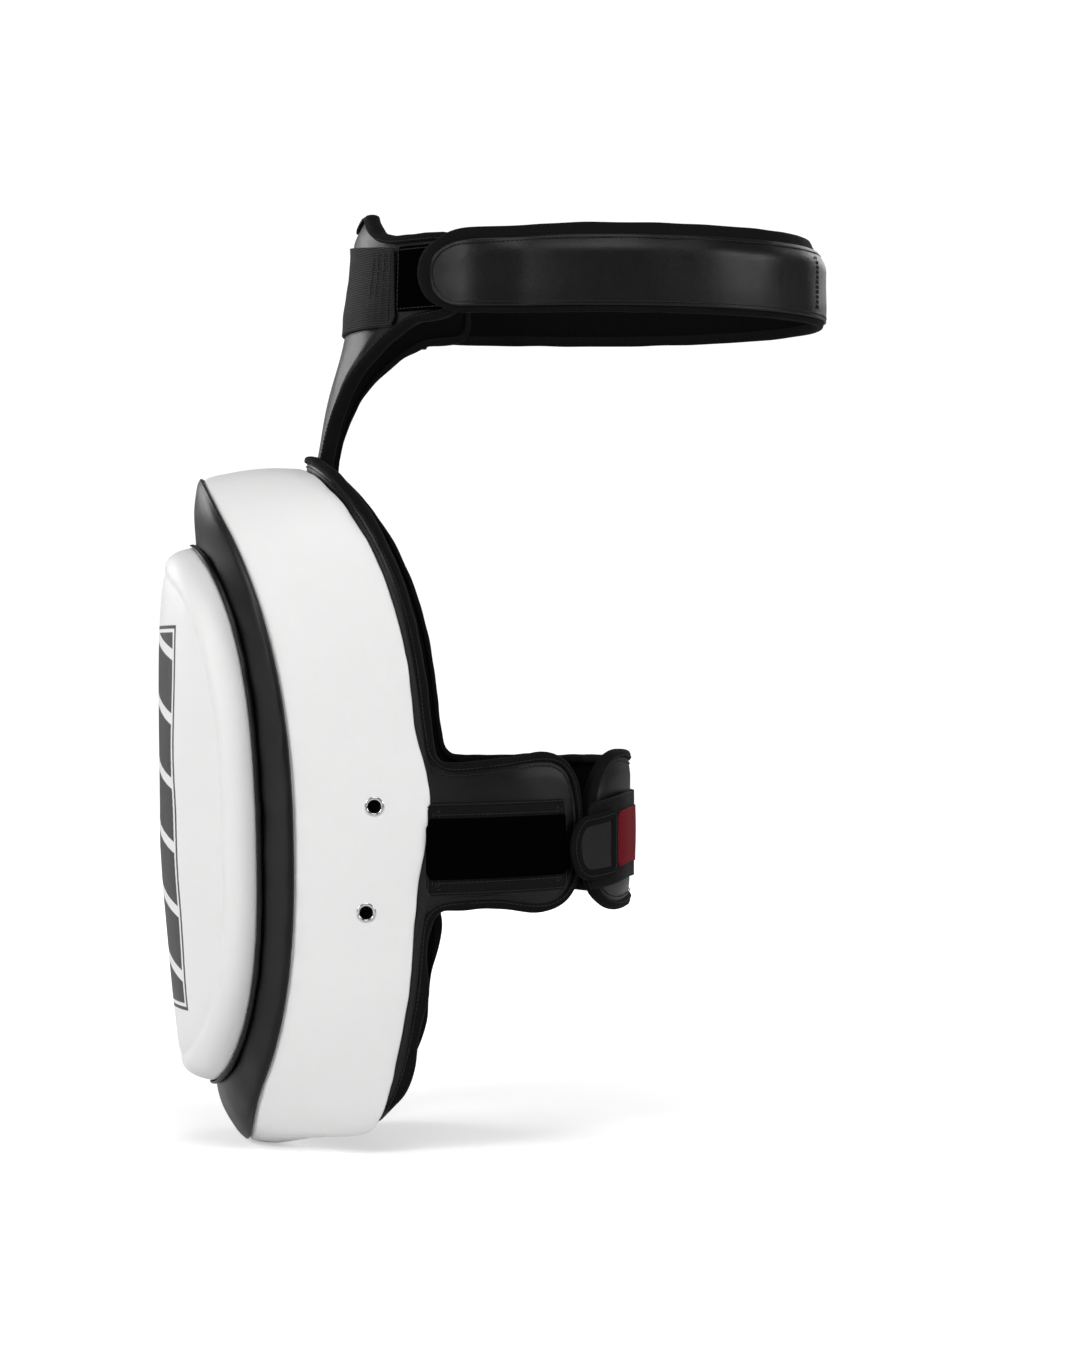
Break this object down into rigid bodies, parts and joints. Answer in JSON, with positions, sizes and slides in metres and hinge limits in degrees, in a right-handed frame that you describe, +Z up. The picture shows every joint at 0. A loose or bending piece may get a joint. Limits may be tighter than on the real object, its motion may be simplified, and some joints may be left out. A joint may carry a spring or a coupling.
{
  "type": "muay thai thigh guard",
  "caption": "Thick curved kick pad for the outside of the left thigh, hung from a waist belt by a hip panel and closed round the thigh by two wings and a strap.",
  "frame": {"origin": "centre of the waist hollow, at the middle of the belt's height, where the wearer's waist axis runs", "axes": "+Z up, +Y the way the wearer faces, +X to the wearer's right; the pad is on the left thigh, at -X"},
  "size_m": [0.4441, 0.2312, 0.6085],
  "materials": {
    "white_leather": "semi-gloss grained white leather over foam",
    "black_leather": "semi-gloss fine-grained black leather",
    "binding": "woven bias tape",
    "lining": "matt nylon lining",
    "elastic": "ribbed elastic webbing",
    "webbing": "woven webbing",
    "loop_pile": "deep black hook and loop pile",
    "label": "plain dark red woven patch",
    "eyelet_metal": "polished nickel"
  },
  "bodies": {
    "root": {"base_pad": "white_leather", "face_panel": "black_leather", "striking_pad": "white_leather", "striking_pad_welt": "binding", "thigh_wrap": "lining", "thigh_wrap_binding": "binding", "hip_panel": "black_leather", "hip_panel_binding": "binding", "elastic_band": "elastic", "hook_loop_patch": "loop_pile", "waist_belt": "lining", "waist_belt_facing": "black_leather", "waist_belt_binding": "binding", "loop_strap": "loop_pile", "closing_strap": "webbing", "strap_tab": "black_leather", "strap_label": "label", "upper_eyelet": "eyelet_metal", "lower_eyelet": "eyelet_metal"}
  },
  "joints": []
}
